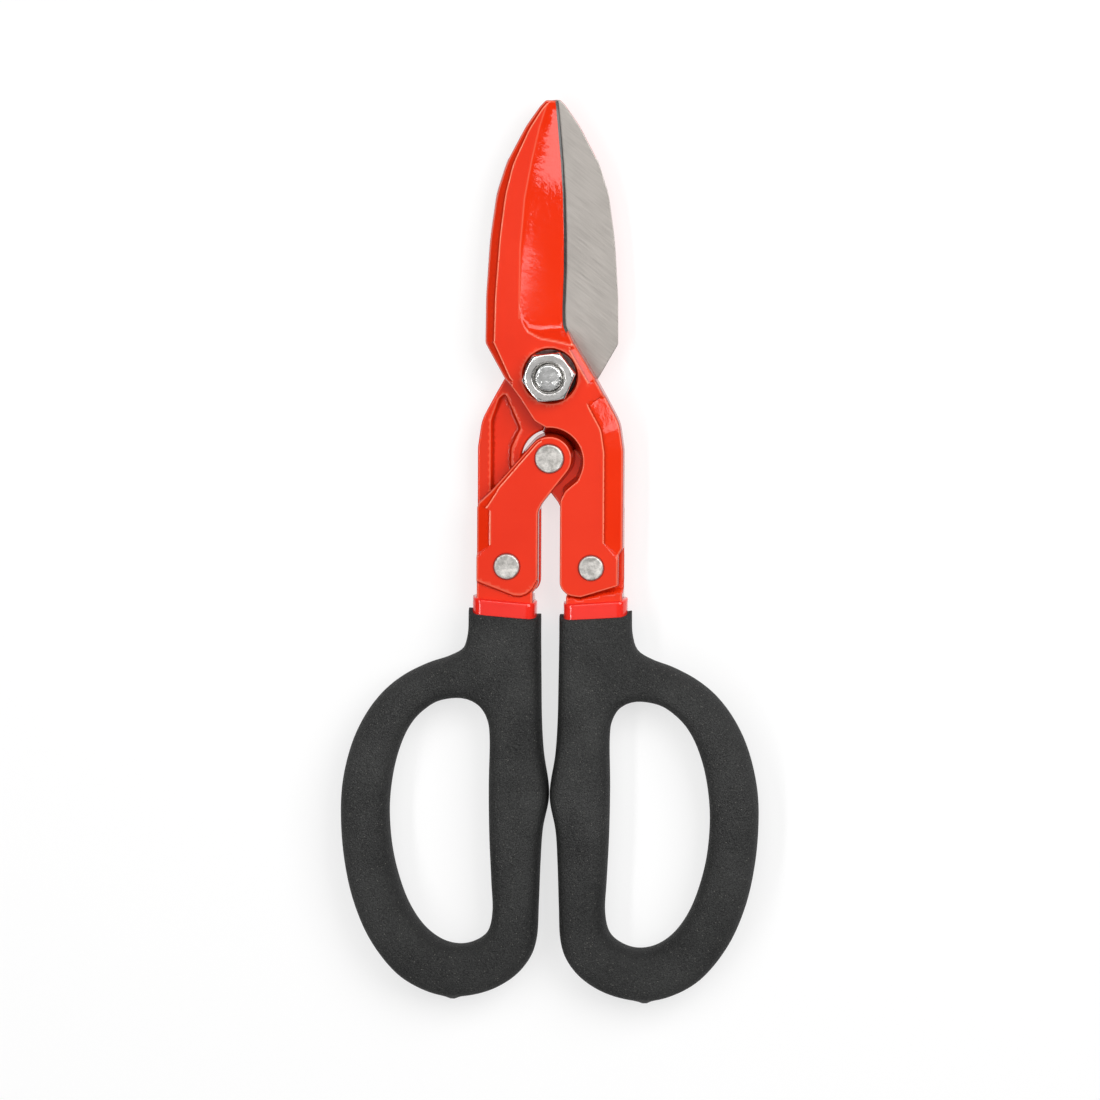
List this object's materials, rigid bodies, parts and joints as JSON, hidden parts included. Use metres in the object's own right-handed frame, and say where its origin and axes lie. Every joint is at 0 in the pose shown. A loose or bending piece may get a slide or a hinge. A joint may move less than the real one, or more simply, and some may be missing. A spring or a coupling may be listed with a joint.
{
  "type": "compound leverage snips",
  "caption": "Hand snips with overlapping straight jaws on a bolt and nut, riveted compound-leverage handles and closed, dip-coated finger loops.",
  "frame": {"origin": "on the main pivot's axis, at the outer flat face of the pivot bolt's head, on which the closed tool lies", "axes": "+X to the right with the nut towards the viewer, +Y towards the jaw tips, +Z out of the nut, away from the table"},
  "size_m": [0.1182, 0.2542, 0.0178],
  "materials": {
    "blade_paint": "glossy red-orange paint on forged steel; the jaws' inner faces are ground bare",
    "zinc_plate": "bright zinc plating",
    "rivet_steel": "satin steel",
    "red_vinyl": "glossy dipped vinyl",
    "grip_foam": "matt foamed vinyl with a fine pebbled skin"
  },
  "bodies": {
    "front_blade_body": {"front_blade": "blade_paint", "pivot_bolt": "zinc_plate", "pivot_washer": "zinc_plate", "pivot_nut": "zinc_plate"},
    "rear_blade_body": {"rear_blade": "blade_paint"},
    "left_handle_body": {"left_handle": "blade_paint", "left_sleeve": "red_vinyl", "left_grip": "grip_foam", "left_rivet": "rivet_steel", "fulcrum_rivet": "rivet_steel"},
    "right_handle_body": {"right_handle": "blade_paint", "right_sleeve": "red_vinyl", "right_grip": "grip_foam", "right_rivet": "rivet_steel"}
  },
  "joints": [
    {"name": "jaw_pivot", "type": "hinge", "parent": "front_blade_body", "child": "rear_blade_body", "pos_m": [0, 0, 0.0075], "axis": [0, 0, -1], "range_deg": [0, 20]},
    {"name": "right_handle_pivot", "type": "hinge", "parent": "front_blade_body", "child": "right_handle_body", "pos_m": [0.01185, -0.0538, 0.0075], "axis": [0, 0, 1], "range_deg": [0, 8.5]},
    {"name": "left_handle_pivot", "type": "hinge", "parent": "rear_blade_body", "child": "left_handle_body", "pos_m": [-0.01185, -0.0538, 0.0075], "axis": [0, 0, -1], "range_deg": [0, 8.5]}
  ],
  "couplings": [
    {"joint": "right_handle_pivot", "follows": "jaw_pivot", "ratio": 0.4218},
    {"joint": "left_handle_pivot", "follows": "jaw_pivot", "ratio": 0.4218}
  ]
}
